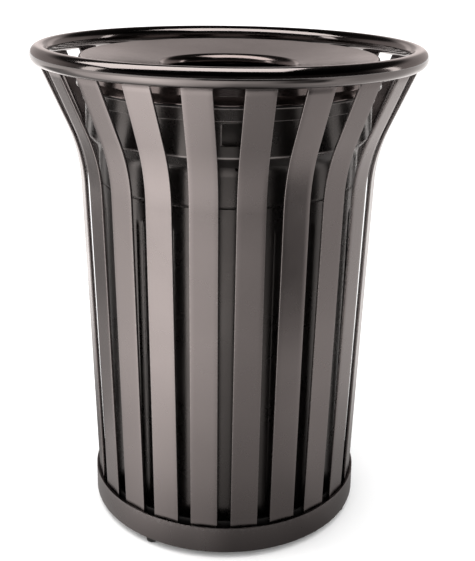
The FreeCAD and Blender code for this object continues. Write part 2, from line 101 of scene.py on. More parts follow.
def paper_material():
    """White seamless paper with a faint fibre mottle."""
    material, add = new_material("floor_paper")
    where = add("TexCoord").outputs["Object"]
    grain = add("TexNoise", {"Vector": where, "Scale": 3.0, "Detail": 4.0})
    tint = add("ValToRGB", {"Fac": grain.outputs["Fac"]})
    tint.color_ramp.elements[0].color = (0.93, 0.93, 0.93, 1)
    tint.color_ramp.elements[1].color = (0.95, 0.95, 0.95, 1)
    shade = add("BsdfPrincipled", {"Base Color": tint.outputs["Color"], "Roughness": 0.9,
                                   "Specular IOR Level": 0.0})
    add("OutputMaterial", {"Surface": shade.outputs["BSDF"]})
    return material


def light_pool_material():
    """Light whose strength follows the direction from the bin's axis and the distance from it.

    Direction: (atan2(x, -y) / 360 degrees + 1/2) looks up a curve of brightness, and each zone
    fades into a curve of its own. Distance: the light fades towards the bin, as under any solid
    thing, and rises to full at about a metre.
    """
    material, add = new_material("light_pool")
    place = add("SeparateXYZ", {"Vector": add("TexCoord").outputs["Object"]})
    behind = add("Math", {0: place.outputs["Y"], 1: -1.0}, operation="MULTIPLY")
    angle = add("Math", {0: place.outputs["X"], 1: behind.outputs[0]}, operation="ARCTAN2")
    along = add("MapRange", {"Value": angle.outputs[0], "From Min": -math.pi, "From Max": math.pi})
    by_direction = add("ValToRGB", {"Fac": along.outputs[0]})
    set_curve(by_direction.color_ramp, round_turn(POOL_LEVELS))
    flat = add("CombineXYZ", {"X": place.outputs["X"], "Y": place.outputs["Y"]})
    distance = add("VectorMath", {0: flat.outputs[0]}, operation="LENGTH")
    outward = add("MapRange", {"Value": distance.outputs["Value"],
                               "From Min": FADE_START, "From Max": FADE_END})
    by_distance = add("ValToRGB", {"Fac": outward.outputs[0]})
    set_curve(by_distance.color_ramp, FADE_LEVELS)
    lit = by_direction.outputs["Color"]
    for levels, start, end in POOL_ZONES:
        share = add("MapRange", {"Value": distance.outputs["Value"],
                                 "From Min": start, "From Max": end},
                    interpolation_type="SMOOTHSTEP")
        other = add("ValToRGB", {"Fac": along.outputs[0]})
        set_curve(other.color_ramp, round_turn(levels))
        zone = add("Mix", {"Factor": share.outputs[0]}, data_type="RGBA")
        material.node_tree.links.new(lit, zone.inputs[6])
        material.node_tree.links.new(other.outputs["Color"], zone.inputs[7])
        lit = zone.outputs[2]
    level = add("Math", {0: lit, 1: by_distance.outputs["Color"]}, operation="MULTIPLY")
    strength = add("Math", {0: level.outputs[0], 1: POOL_TOP}, operation="MULTIPLY")
    glow = add("Emission", {"Color": (*WARM, 1), "Strength": strength.outputs[0]})
    add("OutputMaterial", {"Surface": glow.outputs["Emission"]})
    return material


def round_turn(levels):
    """Ramp stops from (degrees from the front, brightness) pairs over one whole turn."""
    return [(degrees / 360 + 0.5, level / POOL_TOP) for degrees, level in levels]


def set_curve(ramp, stops):
    """Turn a colour ramp into a smooth curve through (position, level) stops."""
    ramp.interpolation = "EASE"
    while len(ramp.elements) < len(stops):
        ramp.elements.new(0.5)
    for element, (position, level) in zip(ramp.elements, stops):
        element.position = position
        element.color = (level, level, level, 1)


def make_disc(name, radius, height, material, sides=64):
    """A flat round sheet facing up, as a single face with many sides."""
    a = np.linspace(0, 2 * math.pi, sides, endpoint=False)
    rim = np.stack([radius * np.cos(a), radius * np.sin(a), 0 * a + height], -1)
    mesh = bpy.data.meshes.new(name)
    mesh.from_pydata(rim.tolist(), [], [tuple(range(sides))])
    disc = bpy.data.objects.new(name, mesh)
    bpy.context.scene.collection.objects.link(disc)
    mesh.materials.append(material)
    return disc


def make_light(name, place, aim, width, height, power):
    """A soft box: a rectangle at a place, facing an aim point, in metres and watts."""
    lamp = bpy.data.lights.new(name, "AREA")
    lamp.shape = "RECTANGLE"
    lamp.size, lamp.size_y, lamp.energy = width, height, power
    lamp.color = WARM
    box = bpy.data.objects.new(name, lamp)
    bpy.context.scene.collection.objects.link(box)
    box.location = place
    box.rotation_euler = (Vector(aim) - Vector(place)).to_track_quat("-Z", "Y").to_euler()
    box.visible_camera = False
    return box


WARM = (1.0, 0.955, 0.935)
POOL_TOP = 3.6
POOL_LEVELS = [(-180, 1.6), (-150, 2.2), (-124, 0.35), (-106, 0.55), (-88, 1.9), (-46, 3.4),
               (-14, 1.85), (14, 1.0), (37, 0.20), (51, 0.10), (60, 1.05), (78, 0.85),
               (112, 1.0), (150, 1.6), (180, 1.6)]
NEAR_LEVELS = [(-180, 1.6), (-150, 1.9), (-124, 0.6), (-106, 0.7), (-88, 1.9), (-46, 3.0),
               (-14, 1.7), (6, 0.8), (38, 0.80), (50, 1.0), (59, 1.2), (78, 1.1),
               (112, 1.1), (150, 1.6), (180, 1.6)]
FAR_LEVELS = [(-180, 1.4), (-60, 1.6), (-22, 1.5), (-13, 0.05), (36, 0.05), (54, 0.8), (180, 1.4)]
POOL_ZONES = ((NEAR_LEVELS, 1.3, 0.9), (FAR_LEVELS, 2.3, 3.1))  # from none of it to all, in metres
FADE_START, FADE_END = 0.26, 1.1
FADE_LEVELS = [(0.0, 0.25), (0.12, 0.42), (0.3, 0.62), (0.6, 0.86), (1.0, 1.0)]
make_disc("floor", 40.0, 0.0, paper_material())
pool = make_disc("light_pool", 12.0, 0.0005, light_pool_material())
pool.visible_camera = pool.visible_diffuse = pool.visible_shadow = False
pool.visible_transmission = pool.visible_volume_scatter = False
make_light("left_box", (-2.6, -0.6, 1.5), (0, 0, 0.75), 0.5, 1.3, 7)
make_light("right_box", (2.8, 0.4, 1.4), (0, 0, 0.75), 0.4, 1.2, 5)
make_light("overhead_box", (-0.40, -0.13, 1.67), (-0.40, -0.13, 0.0), 1.5, 0.72, 16)

world = bpy.data.worlds.new("studio")
world.use_nodes = True
world.cycles.sampling_method = "NONE"
bpy.context.scene.world = world
world.node_tree.nodes.clear()
add_world = node_adder(world.node_tree)
way = add_world("SeparateXYZ", {"Vector": add_world("TexCoord").outputs["Generated"]})
by_height = add_world("ValToRGB", {"Fac": way.outputs["Z"]})
set_curve(by_height.color_ramp, [(0.0, 0.72), (0.34, 0.62), (0.52, 0.03), (1.0, 0.008)])
to_back = add_world("MapRange", {"Value": way.outputs["Y"], "From Min": -0.1, "From Max": 0.45,
                                 "To Min": 0.08, "To Max": 1.75})
across = add_world("MapRange", {"Value": way.outputs["X"], "From Min": -1.0, "From Max": 1.0})
by_side = add_world("ValToRGB", {"Fac": across.outputs[0]})
set_curve(by_side.color_ramp, [(0.0, 0.5), (0.32, 0.5), (0.38, 0.95), (0.43, 0.8), (0.475, 0.5),
                               (0.525, 0.5), (0.57, 0.8), (0.62, 0.95), (0.68, 0.5), (1.0, 0.5)])
back_side = add_world("Math", {0: to_back.outputs[0], 1: by_side.outputs["Color"]},
                      operation="MULTIPLY")
warm_sky = add_world("VectorMath", {0: by_height.outputs["Color"], 1: (1.0, 0.885, 0.855)},
                     operation="MULTIPLY")
in_gloss = add_world("Background", {"Color": warm_sky.outputs[0], "Strength": back_side.outputs[0]})
even_sky = add_world("Background", {"Color": (1, 1, 1, 1), "Strength": 1.5})
is_gloss = add_world("LightPath").outputs["Is Glossy Ray"]
sky = add_world("MixShader", {0: is_gloss, 1: even_sky.outputs["Background"],
                              2: in_gloss.outputs["Background"]})
add_world("OutputWorld", {"Surface": sky.outputs["Shader"]})
bpy.context.scene.view_settings.view_transform = "Standard"


# --- Top ring ---------------------------------------------------------------------------------
# Steel tube of 33 mm rolled to a hoop 711 mm across, butt welded and ground flush, then coated
# with the rest of the frame. The bars are welded to its underside.
MM = 0.001


def grid_mesh(name, points, around_u=False, around_v=False):
    """A mesh of quads through a grid of points (rows, columns, 3), closed round if asked.

    Row i column j joins to row i+1 and column j+1; faces point along (row step) x (column step).
    """
    rows, columns = points.shape[:2]
    index = np.arange(rows * columns).reshape(rows, columns)
    i = np.arange(rows if around_u else rows - 1)
    j = np.arange(columns if around_v else columns - 1)
    i, j = np.meshgrid(i, j, indexing="ij")
    i2, j2 = (i + 1) % rows, (j + 1) % columns
    quads = np.stack([index[i, j], index[i2, j], index[i2, j2], index[i, j2]], -1).reshape(-1, 4)
    return faces_mesh(name, points.reshape(-1, 3), quads)


def faces_mesh(name, points, quads):
    """A smooth-shaded mesh from arrays of points and of four-cornered faces."""
    mesh = bpy.data.meshes.new(name)
    mesh.vertices.add(len(points))
    mesh.vertices.foreach_set("co", points.astype(np.float32).ravel())
    mesh.loops.add(quads.size)
    mesh.loops.foreach_set("vertex_index", quads.astype(np.int32).ravel())
    mesh.polygons.add(len(quads))
    mesh.polygons.foreach_set("loop_start", np.arange(0, quads.size, 4, dtype=np.int32))
    mesh.polygons.foreach_set("use_smooth", np.ones(len(quads), bool))
    mesh.update(calc_edges=True)
    mesh.validate()
    return mesh


def place_piece(name, mesh, material, body, replaced=()):
    """Put a finished mesh in the scene, on its body, in its finish, for the nodes it stands for."""
    piece = bpy.data.objects.new(name, mesh)
    bpy.context.scene.collection.objects.link(piece)
    mesh.materials.append(material)
    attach(piece, body)
    if replaced:
        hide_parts(*replaced)
    return piece


def turned_points(profile, angles):
    """A profile of (radius, height) turned about Z: x = r sin a, y = -r cos a, z = height."""
    r, z = profile[:, 0][None, :], profile[:, 1][None, :]
    a = angles[:, None]
    return np.stack([r * np.sin(a), -r * np.cos(a), z + 0 * a], -1)


def full_turn(count):
    """Evenly spaced angles over one turn, without the repeated last one."""
    return np.linspace(0, 2 * math.pi, count, endpoint=False)


def new_group(name, inputs, outputs):
    """A shader node group with typed sockets; returns it, its adder and its two ends."""
    group = bpy.data.node_groups.new(name, "ShaderNodeTree")
    kinds = {"f": "NodeSocketFloat", "c": "NodeSocketColor", "v": "NodeSocketVector"}
    for label, kind in inputs:
        group.interface.new_socket(label, in_out="INPUT", socket_type=kinds[kind])
    for label, kind in outputs:
        group.interface.new_socket(label, in_out="OUTPUT", socket_type=kinds[kind])
    source = group.nodes.new("NodeGroupInput")
    sink = group.nodes.new("NodeGroupOutput")
    return group, node_adder(group), source, sink


def make_coat_texture():
    """The skin of a sprayed and baked coat: fine orange peel, cloudy gloss, and pale marked edges:
    wear on the bars, a painted highlight on the band.
    """
    group, add, source, sink = new_group(
        "coat_texture",
        [("Color", "c"), ("Worn And Highlit Color", "c"), ("Roughness", "f"), ("Peel", "f"), ("Wear And Highlight", "f")],
        [("Color", "c"), ("Roughness", "f"), ("Normal", "v")])
    link = group.links.new
    where = add("TexCoord").outputs["Object"]
    peel = add("TexNoise", {"Vector": where, "Scale": 420.0, "Detail": 2.0, "Roughness": 0.5})
    sag = add("TexNoise", {"Vector": where, "Scale": 35.0, "Detail": 1.0})
    height = add("Math", {0: peel.outputs["Fac"], 1: sag.outputs["Fac"]}, operation="ADD")
    bump = add("Bump", {"Height": height.outputs[0], "Distance": 0.2 * MM,
                        "Strength": source.outputs["Peel"]})
    cloud = add("TexNoise", {"Vector": where, "Scale": 9.0, "Detail": 5.0, "Roughness": 0.6})
    spread = add("MapRange", {"Value": cloud.outputs["Fac"], "From Min": 0.3, "From Max": 0.7,
                              "To Min": -0.03, "To Max": 0.04})
    rough = add("Math", {0: source.outputs["Roughness"], 1: spread.outputs[0]}, operation="ADD")
    fleck = add("TexNoise", {"Vector": where, "Scale": 260.0, "Detail": 3.0, "Roughness": 0.7})
    # The edge mark: worn edges on the bars, and a painted highlight along the band's top edge.
    edge = add("Attribute", attribute_name="edge")
    broken = add("Math", {0: edge.outputs["Fac"], 1: fleck.outputs["Fac"]}, operation="MULTIPLY")
    wear_and_highlight_mask = add("MapRange", {"Value": broken.outputs[0], "From Min": 0.42, "From Max": 0.62,
                            "To Min": 0.0, "To Max": 1.0})
    amount = add("Math", {0: wear_and_highlight_mask.outputs[0], 1: source.outputs["Wear And Highlight"]}, operation="MULTIPLY")
    tone = add("TexNoise", {"Vector": where, "Scale": 2.5, "Detail": 3.0})
    shade = add("MapRange", {"Value": tone.outputs["Fac"], "From Min": 0.3, "From Max": 0.7,
                             "To Min": 0.92, "To Max": 1.08})
    toned = add("VectorMath", {0: source.outputs["Color"], 1: shade.outputs[0]},
                operation="MULTIPLY")
    mix = add("Mix", {"Factor": amount.outputs[0]}, data_type="RGBA")
    link(toned.outputs[0], mix.inputs[6])
    link(source.outputs["Worn And Highlit Color"], mix.inputs[7])
    link(mix.outputs[2], sink.inputs["Color"])
    link(rough.outputs[0], sink.inputs["Roughness"])
    link(bump.outputs["Normal"], sink.inputs["Normal"])
    return group


coat_texture = make_coat_texture()
# Pale colour of the marked edges: bare steel where the bars are worn, a painted highlight on the
# band.
worn_and_highlit_steel = (0.30, 0.285, 0.28)


def make_coat(name, color, roughness, metallic=0.0, peel=0.12, wear_and_highlight=0.25):
    """Baked powder coat: the skin texture over a shader with its own gloss."""
    material, add = new_material(name)
    skin = add("Group", node_tree=coat_texture)
    skin.inputs["Color"].default_value = (*color, 1)
    skin.inputs["Worn And Highlit Color"].default_value = (*worn_and_highlit_steel, 1)
    skin.inputs["Roughness"].default_value = roughness
    skin.inputs["Peel"].default_value = peel
    skin.inputs["Wear And Highlight"].default_value = wear_and_highlight
    shade = add("BsdfPrincipled", {
        "Base Color": skin.outputs["Color"], "Roughness": skin.outputs["Roughness"],
        "Normal": skin.outputs["Normal"], "Metallic": metallic, "Specular IOR Level": 0.3})
    add("OutputMaterial", {"Surface": shade.outputs["BSDF"]})
    return material


ring_coat = make_coat("ring_coat", (0.150, 0.137, 0.134), 0.11, metallic=1.0, peel=0.05)
ring_low, ring_high = (np.array(corner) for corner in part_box("top_ring"))
tube_radius = (ring_high[2] - ring_low[2]) / 2
ring_radius = ring_high[:2].min() - tube_radius
ring_height = (ring_high[2] + ring_low[2]) / 2
ring_turns, ring_parts = 288, 48


def tube_points(hoop_radius, hoop_height, radius, turns, parts):
    """A round tube bent to a hoop: r = R + q cos b, z = H + q sin b, turned about Z."""
    b = full_turn(parts)
    profile = np.stack([hoop_radius + radius * np.cos(b), hoop_height + radius * np.sin(b)], -1)
    return turned_points(profile, full_turn(turns))


ring_points = tube_points(ring_radius, ring_height, tube_radius, ring_turns, ring_parts)
ring_mesh = grid_mesh("top_ring", ring_points, around_u=True, around_v=True)
place_piece("ring_tube", ring_mesh, ring_coat, "root", ["top_ring"])

# --- Slats ------------------------------------------------------------------------------------
# Flat steel bar, 48 x 4.8 mm with mill-rounded edges, bent once in a press so that it flares to the
# ring. Each stands inside the base band and is welded to it and to the underside of the tube.
slat_coat = make_coat("slat_coat", (0.170, 0.153, 0.150), 0.26, metallic=1.0)
slat_count = 22
slat_width, slat_thick = 48.1 * MM, 4.8 * MM
slat_edge_round = 0.9 * MM
slat_foot_radius = 251.6 * MM
slat_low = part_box("slat_01")[0][2]
straight_foot, heel_round = 13.0 * MM, 40.0 * MM
lean_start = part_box("base_band")[1][2] + straight_foot
slat_lean, slat_flare = math.radians(1.95), math.radians(23.3)
weld_outset, weld_overlap = 7.8 * MM, np.array([2.0, 5.0]) * MM
slat_aim = ring_radius + weld_outset
bend_height = ((slat_aim - math.tan(slat_flare) * ring_height - slat_foot_radius
                + math.tan(slat_lean) * lean_start) / (math.tan(slat_lean) - math.tan(slat_flare)))
bend_radius_out = slat_foot_radius + math.tan(slat_lean) * (bend_height - lean_start)
slat_bend, slat_step = 290.0 * MM, 30.0 * MM


def round_path(corners, steps=8):
    """An outline through corners (across, up, radius), each rounded with an arc of steps parts.

    At a corner the arc starts radius / tan(half the angle between its sides) before it and runs
    tangent to both sides. A point just outside each end of the arc holds the flat side flat.
    """
    hold = 0.3 * MM
    corners = np.array([c if len(c) == 3 else (*c, 0.0) for c in corners], float)
    path = [corners[0, :2]]
    for before, corner, after in zip(corners[:-2], corners[1:-1], corners[2:]):
        here, radius = corner[:2], corner[2]
        back = (before[:2] - here) / np.linalg.norm(before[:2] - here)
        onward = (after[:2] - here) / np.linalg.norm(after[:2] - here)
        if radius == 0:
            path.append(here)
            continue
        half = math.acos(np.clip(back @ onward, -1, 1)) / 2
        middle = (back + onward) / np.linalg.norm(back + onward)
        centre = here + middle * radius / math.sin(half)
        start = here + back * radius / math.tan(half) - centre
        end = here + onward * radius / math.tan(half) - centre
        turn = math.atan2(start[0] * end[1] - start[1] * end[0], start @ end)
        t = np.linspace(0, turn, steps + 1)[:, None]
        across = np.array([-start[1], start[0]])
        path.append(centre + start + back * hold)
        path.extend(centre + np.cos(t) * start + np.sin(t) * across)
        path.append(centre + end + onward * hold)
    path.append(corners[-1, :2])
    return np.array(path)


def rounded_section(width, thick, edge, steps=5):
    """A rounded rectangle as (across, out) points, with its outer face at out = 0.

    Each corner is a quarter circle of the edge radius; extra points lie on the long faces.
    """
    t = np.linspace(0, math.pi / 2, steps)
    corners = []
    for sx, sy, start in ((1, 1, 0), (-1, 1, 1), (-1, -1, 2), (1, -1, 3)):
        centre = np.array([sx * (width / 2 - edge), -thick / 2 + sy * (thick / 2 - edge)])
        a = t + start * math.pi / 2
        corners.append(centre + edge * np.stack([np.cos(a), np.sin(a)], -1))
        if start in (0, 2):
            follow = np.array([-sx * (width / 2 - edge), centre[1] + sy * edge])
            s = np.linspace(0, 1, 7)[1:-1, None]
            corners.append(corners[-1][-1] * (1 - s) + follow * s)
    return np.concatenate(corners)


def swept_bar(path, section, turn):
    """A section carried along a side path (radius, height) and turned away from the front.

    At each path point the section's out axis is square to the path: out = (dz, -dr) / length.
    """
    along = np.gradient(path, axis=0)
    along /= np.linalg.norm(along, axis=1, keepdims=True)
    out = np.stack([along[:, 1], -along[:, 0]], -1)
    r = path[:, None, 0] + out[:, None, 0] * section[None, :, 1]
    z = path[:, None, 1] + out[:, None, 1] * section[None, :, 1]
    s = np.broadcast_to(section[None, :, 0], r.shape)
    x = r * math.sin(turn) + s * math.cos(turn)
    y = -r * math.cos(turn) + s * math.sin(turn)
    return np.stack([x, y, z], -1)


def evenly(path, step):
    """The path with points added so that none is more than a step from the next."""
    parts = [path[:1]]
    for a, b in zip(path[:-1], path[1:]):
        n = max(1, int(math.ceil(np.linalg.norm(b - a) / step)))
        parts.append(a + (b - a) * (np.arange(1, n + 1) / n)[:, None])
    return np.concatenate(parts)


def capped_bar(name, points):
    """The skin of a bar, closed at both ends by rings of faces that shrink to the middle."""
    first, last = points[0], points[-1]
    rings = [first.mean(0) + (first - first.mean(0)) * k for k in (0.0, 0.5)]
    rings += list(points)
    rings += [last.mean(0) + (last - last.mean(0)) * k for k in (0.5, 0.0)]
    return grid_mesh(name, np.stack(rings)[:, ::-1], around_v=True)


def mark_edges(mesh, name, values):
    """Store one number for each vertex, for the materials to read."""
    mark = mesh.attributes.new(name, "FLOAT", "POINT")
    mark.data.foreach_set("value", values.astype(np.float32).ravel())


slat_corners = [(slat_foot_radius, slat_low), (slat_foot_radius, lean_start, heel_round),
                (bend_radius_out, bend_height, slat_bend),
                (slat_aim - weld_overlap[0], ring_height - weld_overlap[1])]
slat_path = evenly(round_path(slat_corners, steps=16), slat_step)
slat_section = rounded_section(slat_width, slat_thick, slat_edge_round)
section_edge = (np.abs(slat_section[:, 0]) > slat_width / 2 - slat_edge_round * 1.01).astype(float)
bar_rows = len(slat_path) + 4  # two more at each end close the cap
for number in range(1, slat_count + 1):
    turn = (number - 0.5) * 2 * math.pi / slat_count
    bar = capped_bar("slat_%02d_bar" % number, swept_bar(slat_path, slat_section, turn))
    mark_edges(bar, "edge", np.tile(section_edge[::-1], (bar_rows, 1)))
    place_piece("slat_bar_%02d" % number, bar, slat_coat, "root",
                ["slat_%02d" % number])

# --- Base band --------------------------------------------------------------------------------
# Flat bar 49 x 4.8 mm rolled on edge to a hoop round the feet of the bars and welded to them. Its
# edges are eased, and a painted highlight lightens the coat along the top one.
# The band's coat is darker than the bars': painted shade on the low band near the floor. Its pale
# top edge is a painted highlight.
band_coat = make_coat("band_coat", (0.138, 0.125, 0.123), 0.28, metallic=1.0, wear_and_highlight=0.3)
band_low, band_high = (np.array(corner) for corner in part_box("base_band"))
band_thick = 4.8 * MM
band_outer = band_high[0]
band_inner = band_outer - band_thick
inner_ease, outer_ease = 1.0 * MM, 1.2 * MM
band_turns = 288


def closed_round(corners, steps=6):
    """A closed outline with every corner rounded, as an open list of points."""
    ring = list(corners)
    middle = [(ring[0][0] + ring[-1][0]) / 2, (ring[0][1] + ring[-1][1]) / 2]
    return round_path([middle] + ring + [middle], steps)[:-1]


band_profile = closed_round([
    (band_inner, band_high[2], inner_ease), (band_inner, band_low[2], inner_ease),
    (band_outer, band_low[2], outer_ease), (band_outer, band_high[2], outer_ease)])
band_mesh = grid_mesh("base_band", turned_points(band_profile, full_turn(band_turns)),
                      around_u=True, around_v=True)
# Marks the top outer edge for the coat's painted highlight.
top_edge_highlight = np.abs(band_profile - [band_outer, band_high[2]]).sum(1) < outer_ease + 0.4 * MM
mark_edges(band_mesh, "edge", np.tile(top_edge_highlight * 1.0, (band_turns, 1)))
place_piece("band_hoop", band_mesh, band_coat, "root", ["base_band"])

# --- Floor pan and bosses ---------------------------------------------------------------------
# A pressed steel pan welded inside the band, with four turned bosses tapped for the feet. They get
# a much darker, duller copy of the frame's coat: near black and not metallic.
pan_coat = make_coat("pan_coat", (0.004, 0.0036, 0.0035), 0.35)
for node in ("floor_pan", "foot_bosses"):
    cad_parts[node].data.materials[0] = pan_coat

# --- Feet -------------------------------------------------------------------------------------
# Four levelling feet: a zinc-plated stud with a rolled thread, and a round glide of black nylon
# moulded on its lower end.
thread_pitch = 1.25 * MM
foot_count = 4


def make_zinc(name, color, roughness, pitch):
    """Bright zinc plate on a screw: pale spangle, a dull yellow bloom, and thread ridges.

    The ridges are a wave along Z, one for each pitch: height = (1 + sin(2 pi z / pitch)) / 2.
    """
    material, add = new_material(name)
    where = add("TexCoord").outputs["Object"]
    turns = add("TexWave", {"Vector": where, "Scale": 2 * math.pi / (20 * pitch),
                            "Distortion": 0.0}, bands_direction="Z")
    ridges = add("Bump", {"Height": turns.outputs["Fac"], "Strength": 0.9, "Distance": 0.6 * MM})
    spangle = add("TexVoronoi", {"Vector": where, "Scale": 900.0})
    bloom = add("TexNoise", {"Vector": where, "Scale": 140.0, "Detail": 4.0})
    rough = add("MapRange", {"Value": spangle.outputs["Distance"], "From Min": 0.0, "From Max": 1.0,
                             "To Min": roughness - 0.08, "To Max": roughness + 0.1})
    tint = add("ValToRGB", {"Fac": bloom.outputs["Fac"]})
    tint.color_ramp.elements[0].color = (*color, 1)
    tint.color_ramp.elements[1].color = (color[0] * 0.80, color[1] * 0.76, color[2] * 0.62, 1)
    shade = add("BsdfPrincipled", {
        "Base Color": tint.outputs["Color"], "Roughness": rough.outputs[0],
        "Normal": ridges.outputs["Normal"], "Metallic": 1.0})
    add("OutputMaterial", {"Surface": shade.outputs["BSDF"]})
    return material


def make_nylon(name, color, roughness):
    """Black nylon: a low satin sheen, a fine mould grain, and pale drag scratches low down."""
    material, add = new_material(name)
    where = add("TexCoord").outputs["Object"]
    grain = add("TexNoise", {"Vector": where, "Scale": 1200.0, "Detail": 2.0})
    skin = add("Bump", {"Height": grain.outputs["Fac"], "Strength": 0.25, "Distance": 0.2 * MM})
    scratch = add("TexNoise", {"Vector": where, "Scale": 380.0, "Detail": 5.0, "Roughness": 0.75})
    height = add("SeparateXYZ", {"Vector": where})
    low = add("MapRange", {"Value": height.outputs["Z"], "From Min": 0.0, "From Max": 5 * MM,
                           "To Min": 1.0, "To Max": 0.0})
    marked = add("Math", {0: low.outputs[0], 1: scratch.outputs["Fac"]}, operation="MULTIPLY")
    tint = add("ValToRGB", {"Fac": marked.outputs[0]})
    set_curve(tint.color_ramp, [(0.45, color), (0.70, 0.16)])
    rough = add("MapRange", {"Value": scratch.outputs["Fac"], "From Min": 0.3, "From Max": 0.7,
                             "To Min": roughness - 0.06, "To Max": roughness + 0.1})
    shade = add("BsdfPrincipled", {
        "Base Color": tint.outputs["Color"], "Roughness": rough.outputs[0],
        "Normal": skin.outputs["Normal"], "Specular IOR Level": 0.45})
    add("OutputMaterial", {"Surface": shade.outputs["BSDF"]})
    return material


stud_zinc = make_zinc("stud_zinc", (0.62, 0.63, 0.65), 0.32, thread_pitch)
glide_nylon = make_nylon("glide_nylon", 0.006, 0.42)
for number in range(1, foot_count + 1):
    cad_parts["foot_stud_%d" % number].data.materials[0] = stud_zinc
    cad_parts["foot_glide_%d" % number].data.materials[0] = glide_nylon

# --- Liner ------------------------------------------------------------------------------------
# Rotationally moulded black plastic in one shell: a tapered fluted wall, a shoulder, an upright
# collar with two hand-grip pockets, and a stepped rim whose lip turns in. It has the mould's grain.
liner_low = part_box("liner_shell")[0][2]
liner_wall = 3.0 * MM
foot_radius, neck_radius, shoulder_radius, rim_radius = 226 * MM, 239 * MM, 261 * MM, 265 * MM
rim_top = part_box("liner_shell")[1][2]
neck_height, shoulder_height = rim_top - 105.5 * MM, rim_top - 82.5 * MM
step_height = rim_top - 21.5 * MM
grip_low_z, grip_high_z, grip_depth = rim_top - 60.5 * MM, rim_top - 26.5 * MM, 14.0 * MM
grip_middle, grip_half = math.radians(6.0), math.radians(8.75)
pull_height, pull_radius = rim_top - 102.5 * MM, 3.5 * MM
pull_middle = grip_middle - math.asin(10.0 * MM / neck_radius)
flute_total, flute_half, flute_depth = 24, math.radians(1.5), 1.2 * MM
flute_span, flute_fade = (70 * MM, 607 * MM), 4 * MM
groove_height, groove_half, groove_depth = rim_top - 169.5 * MM, 1.5 * MM, 1.2 * MM
neck_round, shoulder_round, foot_round, rim_round = 30 * MM, 6 * MM, 14 * MM, 1.5 * MM
rim_lip, pull_depth = 8 * MM, 9 * MM
grip_slope, grip_blend = 9 * MM / shoulder_radius, 2.4 * MM


def soft_step(x, edge, blend):
    """0 below an edge and 1 above it, with a smooth rise over the blend: 3 t^2 - 2 t^3."""
    t = np.clip((x - edge) / blend + 0.5, 0, 1)
    return t * t * (3 - 2 * t)


def window(x, low, high, blend):
    """1 between two edges and 0 outside them, with soft sides."""
    return soft_step(x, low, blend) * (1 - soft_step(x, high, blend))


def wrapped(angle):
    """The angle brought to between minus and plus half a turn."""
    return (angle + math.pi) % (2 * math.pi) - math.pi


def liner_angles():
    """Directions round the liner: an even set, and more at the sides of flutes, grips and hole."""
    parts = [full_turn(192)]
    flutes = grip_middle + full_turn(flute_total)
    side = np.array([-1.25, -1.0, -0.75, 0.75, 1.0, 1.25]) * flute_half
    parts.append((flutes[:, None] + side).ravel())
    edge = np.array([-1.0, 0.0, 1.0, 3.0, 6.0, 8.0, 9.0, 10.0]) * MM / shoulder_radius
    for middle in (grip_middle, grip_middle + math.pi):
        parts += [middle - grip_half + edge, middle + grip_half - edge]
    parts.append(pull_middle + np.linspace(-1.4, 1.4, 15) * pull_radius / neck_radius)
    return np.unique(np.round(np.concatenate(parts) % (2 * math.pi), 5))


def with_levels(path, levels):
    """A rising path with points added where it crosses each of the given heights."""
    parts = [path[:1]]
    for start, end in zip(path[:-1], path[1:]):
        between = levels[(levels > start[1] + 1e-6) & (levels < end[1] - 1e-6)]
        t = ((between - start[1]) / (end[1] - start[1] if end[1] > start[1] else 1.0))[:, None]
        parts += [start + (end - start) * t, end[None]]
    return np.concatenate(parts)


def liner_outline():
    """The liner's side outline, as points (radius, height) up the outside and down the inside.

    The outside has more levels where a hollow or a painted highlight begins and ends. Also returns
    how many of the points are on the outside.
    """
    outside = round_path([
        (0.0, liner_low), (foot_radius, liner_low, foot_round),
        (neck_radius, neck_height, neck_round),
        (shoulder_radius, shoulder_height, shoulder_round),
        (shoulder_radius, step_height, 0.8 * MM),
        (rim_radius, step_height, 1.2 * MM), (rim_radius, rim_top, rim_round),
        (rim_radius - rim_lip, rim_top)], 6)
    inside = round_path([
        (rim_radius - rim_lip, rim_top - liner_wall),
        (rim_radius - liner_wall, rim_top - liner_wall),
        (rim_radius - liner_wall, step_height + liner_wall),
        (shoulder_radius - liner_wall, step_height + liner_wall),
        (shoulder_radius - liner_wall, shoulder_height + 1 * MM),
        (neck_radius - liner_wall, neck_height + 1 * MM),
        (foot_radius - liner_wall, liner_low + liner_wall, foot_round - liner_wall),
        (0.0, liner_low + liner_wall)], 6)
    levels = np.unique(np.round(np.concatenate([
        [flute_span[0] - flute_fade, *flute_span, flute_span[1] + flute_fade],
        groove_height + np.array([-3, -2, -1.5, -1, 1, 1.5, 2, 3]) * MM,
        grip_low_z + np.linspace(-2.2, 2.2, 7) * MM, grip_high_z + np.linspace(-2.2, 2.2, 7) * MM,
        pull_height + np.linspace(-5, 5, 15) * MM, np.linspace(0.1, 0.6, 12),
        shoulder_height + np.array([3.2, 4.5, 6.0]) * MM, rim_top - np.array([1.9, 2.6, 3.6]) * MM,
        step_height + np.array([-3.0, -2.0, 1.6, 2.4]) * MM]), 6))
    outside = with_levels(outside, levels)
    return np.concatenate([outside, inside]), len(outside)


def from_grip(a):
    """The angle from the middle of the nearer grip; there are two, half a turn apart."""
    return np.abs(wrapped((a - grip_middle) * 2) / 2)


